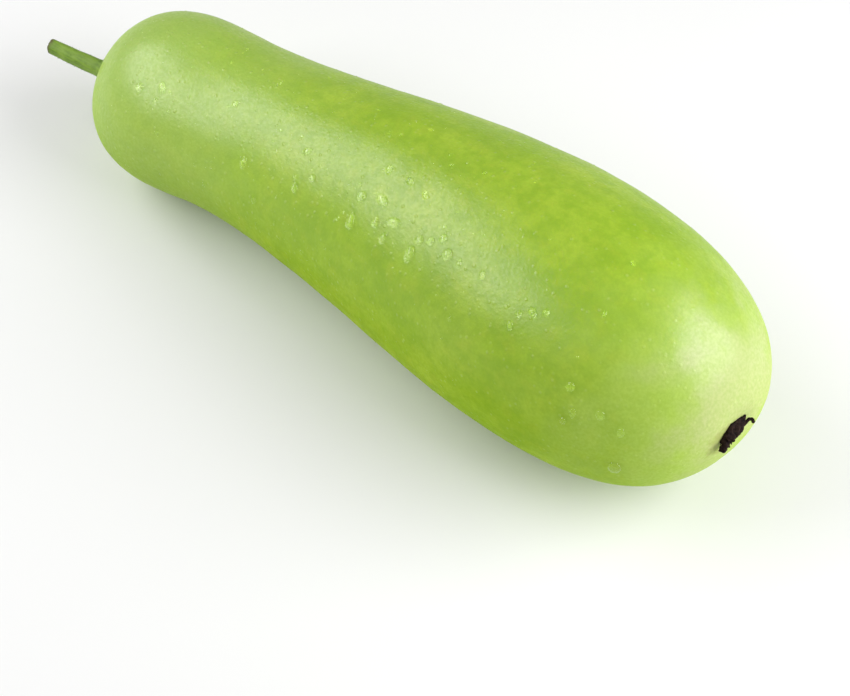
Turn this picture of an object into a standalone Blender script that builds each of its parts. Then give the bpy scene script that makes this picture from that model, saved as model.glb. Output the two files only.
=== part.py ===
"""A bottle gourd lying on its side: the fruit, its cut stem and the dried remains of its blossom.

Metres, +Z up. The fruit's length runs along X, its stem end towards -X. The origin is on the surface that
the gourd lies on, under the middle of the whole object.
"""

import math
import random

import bmesh
import bpy
from mathutils import Matrix, Vector

MM = 0.001
GAP = 0.3 * MM

# The fruit's side, before the fruit is bowed and laid down: places along X and the radius there.
LENGTH = 300 * MM
SHOULDER_X, SHOULDER_R = 39 * MM, 35 * MM
WAIST_X, WAIST_R = 62 * MM, 34 * MM
BELLY_X, BELLY_R = 218 * MM, 50 * MM

# How far each handle of the side's curve reaches, as a share of the stretch or radius beside it.
STEM_END_HANDLES = (0.40, 0.78)
SHOULDER_HANDLES = (0.42, 0.38)
WAIST_HANDLES = (0.26, 0.32)
BLOSSOM_END_HANDLES = (0.60, 0.72)

# Faces round the fruit, and along each stretch: stem end, neck, flank and blossom end.
SIDES = 64
STRETCH_STEPS = (14, 3, 17, 17)

# Growth: the fruit bows sideways and up, is slightly oval and three-sided, and its stem seat sits low.
BOW_Y, BOW_Z = 9.2 * MM, 0.6 * MM
OVAL, OVAL_TURN = 0.02, -0.10
LOBES, LOBES_TURN = -0.015, 0.45
ROUND_POLE_R = 16 * MM
SEAT_SHIFT_Y, SEAT_SHIFT_Z = -1.0 * MM, -2.4 * MM

# The recess that holds the stem, with its puckered skin, and the dish of the blossom scar.
SEAT_R, SEAT_RIM_R, SEAT_X = 6.3 * MM, 7.0 * MM, 1.5 * MM
PUCKERS, PUCKER_DEPTH, PUCKER_R = 5, 0.3 * MM, 15 * MM
SCAR_R, SCAR_RIM_R, SCAR_X = 7.8 * MM, 8.8 * MM, LENGTH - 1.2 * MM
RIM_SHARE = 0.8
RIM_CLEARANCE = 1.3 * MM

# How deep the two resting spots are pressed flat.
BELLY_FLAT_DEPTH, NECK_FLAT_DEPTH = 0.9 * MM, 0.5 * MM

# The stem: a five-ridged stalk, wide where it joins the fruit and cut square.
STEM_LENGTH = 33 * MM
STEM_SIDES, STEM_RINGS = 30, 16
STEM_TIP_R, STEM_NECK_R, STEM_FOOT_R = 3.0 * MM, 3.7 * MM, 5.8 * MM
STEM_FOOT_LENGTH = 9 * MM
RIDGES, RIDGE_HEIGHT = 5, 0.03
STEM_LEAN_Y, STEM_LEAN_Z = 0.02, 0.015
CUT_RIM, CUT_DEPTH = 0.8 * MM, 0.35 * MM

# The dried blossom's patch: an oval pad with a ragged edge of so many waves, each so high.
PATCH_CENTRE = Vector((-0.8, -1.2, 0.0)) * MM
PATCH_R, PATCH_ASPECT, PATCH_HEIGHT, PATCH_TURN = 5.9 * MM, 0.62, 1.5 * MM, 0.30
PATCH_SIDES, PATCH_RINGS = 28, 5
EDGE_WAVES = ((5, 0.09), (9, 0.07))
CRUMPLE = 0.35 * MM

# Its withered petals, which fold over the patch. Each range is drawn from evenly, angles in radians.
PETALS = 7
PETAL_LENGTH, PETAL_WIDTH, PETAL_THICKNESS = 5.0 * MM, 2.9 * MM, 0.8 * MM
PETAL_ROOT_Z = 0.8 * MM
PETAL_SPACING, PETAL_ROOT, PETAL_AIM = (-0.25, 0.25), (0.45, 0.75), (-0.9, 0.9)
PETAL_ROLL, PETAL_PITCH, PETAL_CURL = (-0.5, 0.5), (-1.1, -0.5), (-2.6, -1.6)
PETAL_SIZE = (0.75, 1.15)
PETAL_CUTS = 4
PETAL_WAVE = 0.35 * MM

# A stubby lobe at one end of the patch, a thread at the other, and the grain at which all are fused.
STUB_ROOT = Vector((-3.2, -0.6, 0.6)) * MM
STUB_LENGTH, STUB_WIDTH, STUB_THICKNESS = 5.4 * MM, 2.5 * MM, 1.8 * MM
STUB_AIM, STUB_PITCH, STUB_CURL = math.radians(205), math.radians(-32), -0.5
THREAD_R = 0.45 * MM
THREAD_ROUTE = ((3.6, 0.2, 0.9), (5.2, 0.6, 1.1), (6.6, 1.3, 1.5), (7.3, 0.9, 2.2), (7.3, -0.3, 2.6))
FUSE_GRAIN = 0.40 * MM
SEED = 7

SKIN_GREEN = (0.40, 0.60, 0.07)
STALK_GREEN = (0.20, 0.36, 0.06)
BLOSSOM_BROWN = (0.018, 0.011, 0.009)
SHARP_ANGLE = math.radians(40)


def clear_scene():
    for thing in list(bpy.data.objects):
        bpy.data.objects.remove(thing, do_unlink=True)


def add_collection(name):
    made = bpy.data.collections.new(name)
    bpy.context.scene.collection.children.link(made)
    return made


def make_material(name, colour, roughness):
    made = bpy.data.materials.new(name)
    made.use_nodes = True
    shader = made.node_tree.nodes["Principled BSDF"]
    shader.inputs["Base Color"].default_value = (*colour, 1.0)
    shader.inputs["Roughness"].default_value = roughness
    shader.inputs["Metallic"].default_value = 0.0
    return made


def add_object(name, mesh, collection, material):
    """An object with this mesh, smooth shaded with its sharp edges kept."""
    mesh.materials.clear()
    mesh.materials.append(material)
    mesh.shade_smooth()
    mesh.set_sharp_from_angle(angle=SHARP_ANGLE)
    made = bpy.data.objects.new(name, mesh)
    collection.objects.link(made)
    return made


def mesh_from(work, name):
    mesh = bpy.data.meshes.new(name)
    work.to_mesh(mesh)
    work.free()
    return mesh


def evaluated_mesh(thing):
    """The object's mesh with its modifiers, as a mesh of its own, and the object removed."""
    bpy.context.view_layer.update()
    shape = thing.evaluated_get(bpy.context.evaluated_depsgraph_get())
    mesh = bpy.data.meshes.new_from_object(shape)
    bpy.data.objects.remove(thing, do_unlink=True)
    return mesh


def add_helper(name, data):
    """A short-lived object, for its modifiers or for the mesh of a curve."""
    made = bpy.data.objects.new(name, data)
    bpy.context.scene.collection.objects.link(made)
    return made


def face_outwards(mesh):
    work = bmesh.new()
    work.from_mesh(mesh)
    bmesh.ops.remove_doubles(work, verts=work.verts, dist=0.005 * MM)
    bmesh.ops.recalc_face_normals(work, faces=work.faces)
    work.to_mesh(mesh)
    work.free()


def smooth_step(value):
    value = min(max(value, 0.0), 1.0)
    return value * value * (3 - 2 * value)


# ---------------------------------------------------------------- the fruit


def bezier(corners, steps):
    """Points along a cubic curve through four corners, leaving out its start."""
    points = []
    for step in range(1, steps + 1):
        t = step / steps
        weights = ((1 - t) ** 3, 3 * t * (1 - t) ** 2, 3 * t * t * (1 - t), t**3)
        points.append(tuple(sum(w * c[axis] for w, c in zip(weights, corners)) for axis in (0, 1)))
    return points


def stretch(start, end, handles, steps):
    """The side's curve between two places where it runs along the length."""
    span = end[0] - start[0]
    first = (start[0] + handles[0] * span, start[1])
    second = (end[0] - handles[1] * span, end[1])
    return bezier((start, first, second, end), steps)


def side_curves():
    """The fruit's side with no recess: its stem end, its neck and flank, and its blossom end."""
    shoulder, waist, belly = (SHOULDER_X, SHOULDER_R), (WAIST_X, WAIST_R), (BELLY_X, BELLY_R)
    stem_handle = (0.0, STEM_END_HANDLES[0] * SHOULDER_R)
    shoulder_handle = ((1 - STEM_END_HANDLES[1]) * SHOULDER_X, SHOULDER_R)
    belly_handle = (BELLY_X + BLOSSOM_END_HANDLES[0] * (LENGTH - BELLY_X), BELLY_R)
    blossom_handle = (LENGTH, BLOSSOM_END_HANDLES[1] * BELLY_R)
    stem_end = bezier(((0.0, 0.0), stem_handle, shoulder_handle, shoulder), STRETCH_STEPS[0])
    middle = stretch(shoulder, waist, SHOULDER_HANDLES, STRETCH_STEPS[1])
    middle += stretch(waist, belly, WAIST_HANDLES, STRETCH_STEPS[2])
    blossom_end = bezier((belly, belly_handle, blossom_handle, (LENGTH, 0.0)), STRETCH_STEPS[3])
    return stem_end, middle, blossom_end


def side_outline():
    """(place along the length, radius), from the stem seat's middle to the blossom scar's middle."""
    stem_end, middle, blossom_end = side_curves()
    seat_rim_x = RIM_SHARE * min(x for x, radius in stem_end if radius > SEAT_RIM_R)
    scar_rim_x = max(x for x, radius in blossom_end if radius > SCAR_RIM_R)
    scar_rim_x = LENGTH - RIM_SHARE * (LENGTH - scar_rim_x)
    seat = [(SEAT_X, 0.0), (SEAT_X, SEAT_R / 2), (SEAT_X, SEAT_R), (seat_rim_x, SEAT_RIM_R)]
    scar = [(scar_rim_x, SCAR_RIM_R), (SCAR_X, SCAR_R), (SCAR_X, SCAR_R / 2), (SCAR_X, 0.0)]
    stem_end = [point for point in stem_end if point[1] > SEAT_RIM_R + RIM_CLEARANCE]
    blossom_end = [point for point in blossom_end if point[1] > SCAR_RIM_R + RIM_CLEARANCE]
    return seat + stem_end + middle + blossom_end + scar


def centre_line(x):
    """The bowed fruit's centre at a place along its length: (y, z)."""
    share = x / LENGTH
    rise = 4 * share * (1 - share)
    seat = max(0.0, 1 - x / SHOULDER_X) ** 3
    return BOW_Y * rise + SEAT_SHIFT_Y * seat, BOW_Z * rise + SEAT_SHIFT_Z * seat


def bow_slope(x):
    """How much the bow moves (y, z) for each metre along the length."""
    change = 4 * (1 - 2 * x / LENGTH) / LENGTH
    return BOW_Y * change, BOW_Z * change


def grown(point):
    """Where a point of the straight, round fruit lies on the bowed and lobed one."""
    x, angle = point.x, math.atan2(point.z, point.y)
    radius = math.hypot(point.y, point.z)
    bulge = OVAL * math.cos(2 * (angle - OVAL_TURN)) + LOBES * math.cos(3 * (angle - LOBES_TURN))
    bulge = 1 + bulge * smooth_step(radius / ROUND_POLE_R)
    near_seat = smooth_step((radius - SEAT_R) / (SEAT_RIM_R - SEAT_R))
    near_seat *= 1 - smooth_step((radius - SEAT_RIM_R) / PUCKER_R)
    if x < SHOULDER_X:
        x += PUCKER_DEPTH * near_seat * math.cos(PUCKERS * angle)
    out_y, out_z = radius * bulge * math.cos(angle), radius * bulge * math.sin(angle)
    centre_y, centre_z = centre_line(point.x)
    slope_y, slope_z = bow_slope(point.x)
    return Vector((x - slope_y * out_y - slope_z * out_z, centre_y + out_y, centre_z + out_z))


def make_fruit_mesh():
    """The side's outline turned about X, then bowed and lobed."""
    outline = side_outline()
    profile = bpy.data.meshes.new("fruit_profile")
    edges = [(i, i + 1) for i in range(len(outline) - 1)]
    profile.from_pydata([(x, radius, 0.0) for x, radius in outline], edges, [])
    turned = add_helper("fruit_turned", profile)
    screw = turned.modifiers.new("turn", "SCREW")
    screw.axis = "X"
    screw.steps = SIDES
    screw.render_steps = SIDES
    screw.use_merge_vertices = True
    screw.merge_threshold = 0.01 * MM
    mesh = evaluated_mesh(turned)
    for vertex in mesh.vertices:
        vertex.co = grown(vertex.co)
    face_outwards(mesh)
    return mesh


# ---------------------------------------------------------------- the stem


def stem_radius(height, angle):
    """The stalk's radius at a height above its foot, ridged all the way."""
    share = height / STEM_LENGTH
    shaft = STEM_NECK_R + (STEM_TIP_R - STEM_NECK_R) * share
    flare = (STEM_FOOT_R - STEM_NECK_R) * (1 - smooth_step(height / STEM_FOOT_LENGTH))
    return (shaft + flare) * (1 + RIDGE_HEIGHT * math.cos(RIDGES * angle))


def make_stem_mesh():
    """A tall cone, cut into rings, shaped by stem_radius, with a sunken pith in its cut end."""
    work = bmesh.new()
    raised = Matrix.Translation((0, 0, STEM_LENGTH / 2))
    bmesh.ops.create_cone(
        work, cap_ends=True, segments=STEM_SIDES, radius1=1, radius2=1, depth=STEM_LENGTH, matrix=raised
    )
    upright = [e for e in work.edges if abs(e.verts[0].co.z - e.verts[1].co.z) > STEM_LENGTH / 2]
    bmesh.ops.subdivide_edges(work, edges=upright, cuts=STEM_RINGS - 1, use_grid_fill=True)
    for vertex in work.verts:
        angle = math.atan2(vertex.co.y, vertex.co.x)
        radius = stem_radius(vertex.co.z, angle)
        vertex.co.x, vertex.co.y = radius * math.cos(angle), radius * math.sin(angle)
    cut_end = [face for face in work.faces if face.calc_center_median().z > STEM_LENGTH - GAP]
    bmesh.ops.inset_region(work, faces=cut_end, thickness=CUT_RIM, depth=-CUT_DEPTH)
    bmesh.ops.recalc_face_normals(work, faces=work.faces)
    return mesh_from(work, "stem")


# ---------------------------------------------------------------- the dried blossom


def placed_lump(work, name, place):
    """The mesh of one lump of the blossom, moved to its place."""
    bmesh.ops.transform(work, matrix=place, verts=work.verts)
    bmesh.ops.triangulate(work, faces=work.faces)
    bmesh.ops.recalc_face_normals(work, faces=work.faces)
    return mesh_from(work, name)


def wrinkle(place):
    """A crumple of about two millimetres across, always the same at the same place."""
    x, y, z = place / MM
    folds = math.sin(1.9 * x + 0.7 * y) * math.cos(1.6 * y - 1.1 * z)
    return folds + 0.6 * math.sin(2.0 * x + 3.1 * y + 1.3 * z)


def make_patch():
    """The oval pad of dried tissue, thicker in its middle and ragged round its edge."""
    work = bmesh.new()
    height = PATCH_HEIGHT / 2
    sunk = Matrix.Translation((0, 0, height / 2 - GAP))
    bmesh.ops.create_cone(
        work, cap_ends=True, segments=PATCH_SIDES, radius1=PATCH_R, radius2=PATCH_R, depth=height, matrix=sunk
    )
    top = [face for face in work.faces if face.normal.z > 0.9]
    for _ in range(PATCH_RINGS - 1):
        bmesh.ops.inset_region(work, faces=top, thickness=PATCH_R / PATCH_RINGS, depth=0)
    for vertex in work.verts:
        reach = vertex.co.xy.length / PATCH_R
        angle = math.atan2(vertex.co.y, vertex.co.x)
        if vertex.co.z > 0:
            vertex.co.z += height * (1 - reach**2) + CRUMPLE * wrinkle(vertex.co)
        vertex.co.xy = vertex.co.xy * (1 + sum(size * math.sin(waves * angle) for waves, size in EDGE_WAVES))
        vertex.co.y *= PATCH_ASPECT
    return placed_lump(work, "patch", Matrix.Rotation(PATCH_TURN, 4, "Z"))


def make_petal(name, length, width, thickness, curl, place):
    """A withered petal: a bar rooted at the origin, curling over along +X, pinched towards its end."""
    work = bmesh.new()
    bmesh.ops.create_cube(work, size=1)
    bmesh.ops.translate(work, verts=work.verts, vec=(0.5, 0, 0))
    bmesh.ops.subdivide_edges(work, edges=work.edges, cuts=PETAL_CUTS, use_grid_fill=True)
    for vertex in work.verts:
        along, across, up = vertex.co
        pinch = 1 - 0.45 * along**2 + 0.12 * math.sin(7 * along + 3 * across)
        rounding = 1 - 0.35 * (2 * across) ** 2 * abs(2 * up)
        rise = up * thickness * rounding + PETAL_WAVE * math.sin(5 * along + 9 * across)
        bend = curl * along
        reach = length * math.sin(bend) / curl
        lift = length * (1 - math.cos(bend)) / curl
        vertex.co = (reach - rise * math.sin(bend), across * width * pinch, lift + rise * math.cos(bend))
    return placed_lump(work, name, place)


def make_petals():
    """The petals round the patch, each leaning over its middle in its own way."""
    draw = random.Random(SEED)
    petals = []
    for index in range(PETALS):
        angle = 2 * math.pi * (index + draw.uniform(*PETAL_SPACING)) / PETALS
        reach = PATCH_R * draw.uniform(*PETAL_ROOT)
        root = (math.cos(angle) * reach, math.sin(angle) * reach * PATCH_ASPECT, PETAL_ROOT_Z)
        aim = angle + math.pi + draw.uniform(*PETAL_AIM)
        place = Matrix.Translation(root) @ Matrix.Rotation(aim, 4, "Z")
        place = place @ Matrix.Rotation(draw.uniform(*PETAL_ROLL), 4, "X")
        place = place @ Matrix.Rotation(draw.uniform(*PETAL_PITCH), 4, "Y")
        length = PETAL_LENGTH * draw.uniform(*PETAL_SIZE)
        curl = draw.uniform(*PETAL_CURL)
        petals.append(make_petal(f"petal_{index}", length, PETAL_WIDTH, PETAL_THICKNESS, curl, place))
    return petals


def make_stub():
    place = Matrix.Translation(STUB_ROOT) @ Matrix.Rotation(STUB_AIM, 4, "Z")
    place = place @ Matrix.Rotation(STUB_PITCH, 4, "Y")
    return make_petal("stub", STUB_LENGTH, STUB_WIDTH, STUB_THICKNESS, STUB_CURL, place)


def make_thread():
    """The thin thread that stands off one end of the patch and hooks over at its tip."""
    curve = bpy.data.curves.new("thread", "CURVE")
    curve.dimensions = "3D"
    curve.resolution_u = 4
    curve.bevel_depth = THREAD_R
    curve.bevel_resolution = 2
    curve.use_fill_caps = True
    spline = curve.splines.new("BEZIER")
    spline.bezier_points.add(len(THREAD_ROUTE) - 1)
    for point, place in zip(spline.bezier_points, THREAD_ROUTE):
        point.co = Vector(place) * MM
        point.handle_left_type = point.handle_right_type = "AUTO"
    mesh = evaluated_mesh(add_helper("thread", curve))
    face_outwards(mesh)
    return mesh


def connected(start):
    """Every point that edges join to this one."""
    found, waiting = {start}, [start]
    while waiting:
        for edge in waiting.pop().link_edges:
            for vertex in edge.verts:
                if vertex not in found:
                    found.add(vertex)
                    waiting.append(vertex)
    return found


def keep_one_body(mesh):
    """Drops loose scraps and fills sealed hollows, which leaves the largest surface."""
    work = bmesh.new()
    work.from_mesh(mesh)
    bodies, left = [], set(work.verts)
    while left:
        bodies.append(connected(left.pop()))
        left -= bodies[-1]
    bodies.sort(key=len)
    for body in bodies[:-1]:
        bmesh.ops.delete(work, geom=list(body), context="VERTS")
    work.to_mesh(mesh)
    work.free()


def make_dried_blossom_mesh():
    """The patch, its petals, the stub and the thread, fused in one closed body with a level base."""
    work = bmesh.new()
    for lump in [make_patch(), *make_petals(), make_stub(), make_thread()]:
        work.from_mesh(lump)
        bpy.data.meshes.remove(lump)
    crumpled = add_helper("crumpled", mesh_from(work, "dried_blossom"))
    fuse = crumpled.modifiers.new("fuse", "REMESH")
    fuse.mode = "VOXEL"
    fuse.voxel_size = FUSE_GRAIN
    mesh = evaluated_mesh(crumpled)
    keep_one_body(mesh)
    for vertex in mesh.vertices:
        vertex.co.z = max(vertex.co.z, 0.0)
    mesh.transform(Matrix.Translation(PATCH_CENTRE))
    return mesh


# ---------------------------------------------------------------- laying it down


def lowest(points, turn, is_stem_half):
    """The lowest height among the points of one half of the fruit, once turned."""
    half = [point for point in points if (point.x < LENGTH / 2) == is_stem_half]
    return min((turn @ point).z for point in half)


def resting_place(points):
    """The placement that lays the fruit down on its belly and its neck, both pressed flat a little."""
    span = BELLY_X - SHOULDER_X
    tilt = 0.0
    for _ in range(8):
        turn = Matrix.Rotation(tilt, 4, "Y")
        belly_too_high = lowest(points, turn, False) - lowest(points, turn, True)
        tilt += (belly_too_high + BELLY_FLAT_DEPTH - NECK_FLAT_DEPTH) / span
    turn = Matrix.Rotation(tilt, 4, "Y")
    lift = -lowest(points, turn, False) - BELLY_FLAT_DEPTH
    return Matrix.Translation((-LENGTH / 2, 0, lift)) @ turn


def press_flat(fruit, place):
    """Moves every point that would be under the surface up onto it."""
    back = place.inverted()
    for vertex in fruit.data.vertices:
        world = place @ vertex.co
        if world.z < 0:
            world.z = 0.0
            vertex.co = back @ world


def facing(direction):
    """The turn that points a piece's +Z this way and keeps its +X close to the fruit's +Y."""
    up = direction.normalized()
    side = (Vector((0, 1, 0)) - up * up.y).normalized()
    return Matrix((side, up.cross(side), up)).transposed().to_4x4()


def pole(x):
    """The point at the middle of the stem seat or of the blossom scar, and the fruit's direction there."""
    return Vector((x, *centre_line(x))), Vector((1, *bow_slope(x))).normalized()


def centre_on_origin(holder, pieces):
    """Moves the whole object so that the middle of its box stands over the origin."""
    bpy.context.view_layer.update()
    places = [piece.matrix_world @ vertex.co for piece in pieces for vertex in piece.data.vertices]
    for axis in (0, 1):
        values = [place[axis] for place in places]
        holder.location[axis] -= (min(values) + max(values)) / 2


def main():
    clear_scene()
    gourd = add_collection("bottle_gourd")
    skin = make_material("skin", SKIN_GREEN, 0.35)
    stalk = make_material("stalk", STALK_GREEN, 0.6)
    withered = make_material("withered", BLOSSOM_BROWN, 0.8)
    fruit = add_object("fruit", make_fruit_mesh(), gourd, skin)
    stem = add_object("stem", make_stem_mesh(), gourd, stalk)
    blossom = add_object("dried_blossom", make_dried_blossom_mesh(), gourd, withered)

    place = resting_place([vertex.co for vertex in fruit.data.vertices])
    press_flat(fruit, place)
    holder = bpy.data.objects.new("resting_place", None)
    gourd.objects.link(holder)
    holder.matrix_world = place
    for piece in (fruit, stem, blossom):
        piece.parent = holder

    seat, along = pole(SEAT_X)
    outwards = (Vector((0, STEM_LEAN_Y, STEM_LEAN_Z)) - along).normalized()
    stem.matrix_local = Matrix.Translation(seat + outwards * GAP) @ facing(outwards)
    scar, along = pole(SCAR_X)
    blossom.matrix_local = Matrix.Translation(scar + along * GAP) @ facing(along)
    centre_on_origin(holder, (fruit, stem, blossom))


main()
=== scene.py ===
"""The look of a bottle gourd lying on its side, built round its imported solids.

The skin, the cut stalk and the withered blossom are remade finer than their solids, each in its place. Fine
hairs on the stalk and water drops on the skin are added, and a plain pale studio stands round the gourd.
"""

import logging
import math
import random
from collections.abc import Callable, Iterator, Sequence
from contextlib import contextmanager
from dataclasses import dataclass, field
from enum import Enum

import bmesh
import bpy
import numpy as np
from mathutils import Matrix, Vector


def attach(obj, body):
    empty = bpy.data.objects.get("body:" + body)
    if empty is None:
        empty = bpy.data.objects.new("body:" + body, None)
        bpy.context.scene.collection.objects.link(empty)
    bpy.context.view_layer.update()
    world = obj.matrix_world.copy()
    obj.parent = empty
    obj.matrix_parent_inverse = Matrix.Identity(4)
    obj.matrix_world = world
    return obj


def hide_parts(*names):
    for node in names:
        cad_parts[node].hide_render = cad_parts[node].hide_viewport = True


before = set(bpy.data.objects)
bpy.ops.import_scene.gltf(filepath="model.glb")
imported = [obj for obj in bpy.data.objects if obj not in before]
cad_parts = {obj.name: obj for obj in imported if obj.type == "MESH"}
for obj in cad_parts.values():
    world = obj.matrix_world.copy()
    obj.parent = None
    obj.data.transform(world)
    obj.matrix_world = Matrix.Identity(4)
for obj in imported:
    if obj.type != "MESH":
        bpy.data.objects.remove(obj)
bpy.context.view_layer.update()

log = logging.getLogger("bottle_gourd")

MM = 0.001
BODY = "root"

Colour = tuple[float, float, float]
Offset = tuple[float, float, float]
Range = tuple[float, float]
Counts = tuple[float, float, float, float]
Thing = bpy.types.Object
Socket = bpy.types.NodeSocket
Value = float | Sequence[float] | Socket
Sockets = dict[str | int, Value]

# Places nearer to each other than this count as one.
NEAR = 0.01 * MM

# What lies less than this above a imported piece's lowest point belongs to the face that it sits on.
FOOT_DEPTH = 0.3 * MM

# The fruit's core, from its stem end to its blossom end: places on the skin are counted along and round it.
CORE = (Vector((-132.5, -13.7, 25.6)) * MM, Vector((161.7, -12.4, 59.6)) * MM)
CORE_AXIS = (CORE[1] - CORE[0]).normalized()
CORE_UP = (Vector((0, 0, 1)) - CORE_AXIS * CORE_AXIS.z).normalized()


class Slot(Enum):
    """The record's material slots."""

    SKIN = "skin"
    STALK = "stalk"
    WITHERED = "withered"


class DropForm(Enum):
    """The outlines that a water drop takes on the skin, each with its width as a share of its length."""

    ROUND = 0.88
    OVAL = 0.62
    TEAR = 0.66


# ---------------------------------------------------------------- modelling by hand


def deselect_all() -> None:
    """Leave no object selected."""
    for thing in bpy.context.selected_objects:
        thing.select_set(False)


def select_only(thing: Thing) -> None:
    """Select one object and no other, and make it the active one.

    Args:
        thing: The object to select.
    """
    deselect_all()
    thing.select_set(True)
    bpy.context.view_layer.objects.active = thing


@contextmanager
def editing(thing: Thing, mode: str = "VERT") -> Iterator[None]:
    """Open an object in edit mode, with all of it selected.

    Args:
        thing: The object to edit.
        mode: What is selected there: VERT, EDGE or FACE.
    """
    select_only(thing)
    bpy.ops.object.mode_set(mode="EDIT")
    bpy.ops.mesh.select_mode(type=mode)
    bpy.ops.mesh.select_all(action="SELECT")
    try:
        yield
    finally:
        bpy.ops.object.mode_set(mode="OBJECT")


def pick(thing: Thing, kind: str, wanted: Callable[[object], bool]) -> None:
    """Select, in edit mode, the elements that pass a test and no others.

    Args:
        thing: The object that is open in edit mode.
        kind: Which elements are tested: verts, edges or faces.
        wanted: The test that each element is put to.
    """
    bpy.ops.mesh.select_all(action="DESELECT")
    work = bmesh.from_edit_mesh(thing.data)
    for element in getattr(work, kind):
        if wanted(element):
            element.select_set(True)
    bmesh.update_edit_mesh(thing.data)


def apply_modifier(thing: Thing, kind: str, **settings: object) -> None:
    """Give an object a modifier, and apply it.

    Args:
        thing: The object to change.
        kind: The modifier's type.
        **settings: The modifier's settings by name.
    """
    select_only(thing)
    made = thing.modifiers.new(kind.lower(), kind)
    for name, value in settings.items():
        setattr(made, name, value)
    bpy.ops.object.modifier_apply(modifier=made.name)


def subdivide(thing: Thing, levels: int) -> None:
    """Round an object with this many levels of Subdivision Surface, applied."""
    apply_modifier(thing, "SUBSURF", levels=levels, render_levels=levels)


def roughen(thing: Thing, grain: float, height: float, depth: int = 2) -> None:
    """Move the surface in and out by a cloudy pattern, applied.

    Args:
        thing: The object whose surface is moved.
        grain: The size of the pattern's bumps, in metres.
        height: How far apart its hollows and tops lie, in metres.
        depth: How many finer patterns are laid over the first.
    """
    clouds = bpy.data.textures.new(f"{thing.name}_clouds", "CLOUDS")
    clouds.noise_scale = grain
    clouds.noise_depth = depth
    apply_modifier(
        thing, "DISPLACE", texture=clouds, texture_coords="LOCAL", strength=height, mid_level=0.5
    )
    bpy.data.textures.remove(clouds)


def vertex_places(thing: Thing) -> np.ndarray:
    """Read where the vertices of a mesh object are.

    Args:
        thing: The object to read.

    Returns:
        A row of three numbers for each vertex, in metres.
    """
    flat = np.empty(len(thing.data.vertices) * 3)
    thing.data.vertices.foreach_get("co", flat)
    return flat.reshape(-1, 3)


def set_vertex_places(thing: Thing, places: np.ndarray) -> None:
    """Move every vertex of a mesh object to the place in its row."""
    thing.data.vertices.foreach_set("co", places.ravel())
    thing.data.update()


def keep_above_floor(thing: Thing) -> None:
    """Lift what relief has pushed under the surface that the gourd lies on."""
    lowest = (-np.inf, -np.inf, 0.0)
    set_vertex_places(thing, np.maximum(vertex_places(thing), lowest))


def shade(thing: Thing, sharp_angle: float = math.radians(50)) -> None:
    """Shade an object smooth, apart from the edges sharper than this angle."""
    select_only(thing)
    bpy.ops.object.shade_smooth_by_angle(angle=sharp_angle)


def settle(thing: Thing, place: Matrix) -> None:
    """Put an object's place into its mesh and leave the object at the origin."""
    thing.data.transform(place @ thing.matrix_basis)
    thing.matrix_basis = Matrix.Identity(4)


def copy_of_node(node: str, name: str) -> Thing:
    """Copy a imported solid's mesh to a new object and join its loose triangles.

    Args:
        node: The solid's name in the frame.
        name: The new object's name.

    Returns:
        The new object, whose mesh is mostly of four-sided faces.
    """
    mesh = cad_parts[node].data.copy()
    mesh.materials.clear()
    made = bpy.data.objects.new(name, mesh)
    bpy.context.scene.collection.objects.link(made)
    with editing(made):
        bpy.ops.mesh.remove_doubles(threshold=NEAR)
        bpy.ops.mesh.tris_convert_to_quads(face_threshold=math.radians(60), shape_threshold=math.radians(60))
    return made


def scatter(template: Thing, places: Sequence[Matrix]) -> list[Thing]:
    """Copy one modelled object to many places.

    Args:
        template: The object to copy, which stays where it is.
        places: The place of each copy.

    Returns:
        The copies, each with its own mesh.
    """
    copies = []
    for place in places:
        copy = bpy.data.objects.new(template.name, template.data.copy())
        copy.data.transform(place)
        bpy.context.scene.collection.objects.link(copy)
        copies.append(copy)
    return copies


def join(parts: Sequence[Thing], name: str) -> Thing:
    """Join objects into the first of them.

    Args:
        parts: The objects to join.
        name: The name that the joined object gets.

    Returns:
        The joined object.
    """
    select_only(parts[0])
    for part in parts:
        part.select_set(True)
    bpy.ops.object.join()
    parts[0].name = name
    parts[0].data.name = name
    return parts[0]


def add(kind: Callable[..., object], **settings: object) -> Thing:
    """Add a primitive, a lamp or the camera.

    Args:
        kind: The operator that adds it.
        **settings: Its size, place and the like.

    Returns:
        The new object, which alone is selected.
    """
    deselect_all()
    kind(**settings)
    return bpy.context.object


def remove(thing: Thing) -> None:
    """Take an object out of the scene."""
    bpy.data.objects.remove(thing, do_unlink=True)


def dress(thing: Thing, material: bpy.types.Material) -> None:
    """Give the whole of an object one material."""
    thing.data.materials.clear()
    thing.data.materials.append(material)


def smooth_step(share: np.ndarray | float) -> np.ndarray | float:
    """Ease from 0 to 1 as the share goes from 0 to 1."""
    held = np.clip(share, 0.0, 1.0)
    return held * held * (3 - 2 * held)


def facing(direction: Vector, side: Vector) -> Matrix:
    """Turn a thing that stands up to another direction.

    Args:
        direction: Where its +Z shall point.
        side: Where its +X shall point as closely as it can.

    Returns:
        The turn.
    """
    up = direction.normalized()
    across = (side - up * up.dot(side)).normalized()
    return Matrix((across, up.cross(across), up)).transposed().to_4x4()


# ---------------------------------------------------------------- materials, node by node


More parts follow.
